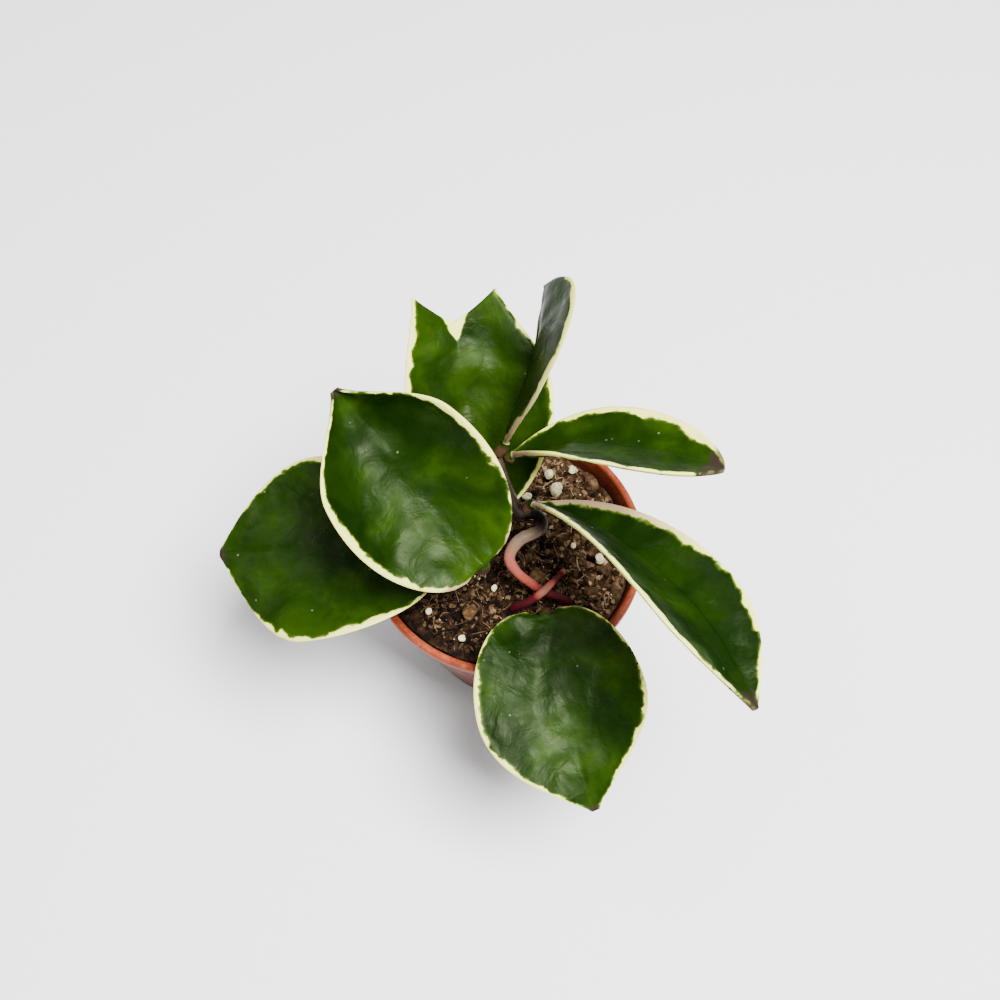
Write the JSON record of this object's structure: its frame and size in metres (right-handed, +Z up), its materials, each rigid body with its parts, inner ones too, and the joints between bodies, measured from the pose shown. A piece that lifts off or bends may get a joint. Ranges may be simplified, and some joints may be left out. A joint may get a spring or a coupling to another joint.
{
  "type": "potted hoya plant",
  "caption": "Young variegated hoya: glossy dark green leaves with cream edges, leaning out of a small terracotta-coloured nursery pot of peat.",
  "frame": {"origin": "centre of the pot's underside", "axes": "+Z up; -Y towards the front, where the heart-shaped leaf hangs over the rim"},
  "size_m": [0.1045, 0.0923, 0.1056],
  "materials": {
    "pot_plastic": "satin",
    "peat": "rough",
    "stem_skin": "satin",
    "leaf_skin": "glossy",
    "perlite": "rough",
    "bark": "rough"
  },
  "bodies": {
    "root": {"pot": "pot_plastic", "soil": "peat", "stem_main": "stem_skin", "stem_left": "stem_skin", "stem_runner": "stem_skin", "leaf_back": "leaf_skin", "leaf_upright": "leaf_skin", "leaf_right_top": "leaf_skin", "leaf_right_long": "leaf_skin", "leaf_front": "leaf_skin", "leaf_left_top": "leaf_skin", "leaf_left_low": "leaf_skin", "perlite_01": "perlite", "perlite_02": "perlite", "perlite_03": "perlite", "perlite_04": "perlite", "perlite_05": "perlite", "perlite_06": "perlite", "perlite_07": "perlite", "perlite_08": "perlite", "perlite_09": "perlite", "perlite_10": "perlite", "bark_1": "bark", "bark_2": "bark", "bark_3": "bark", "bark_4": "bark", "bark_5": "bark"}
  },
  "joints": []
}
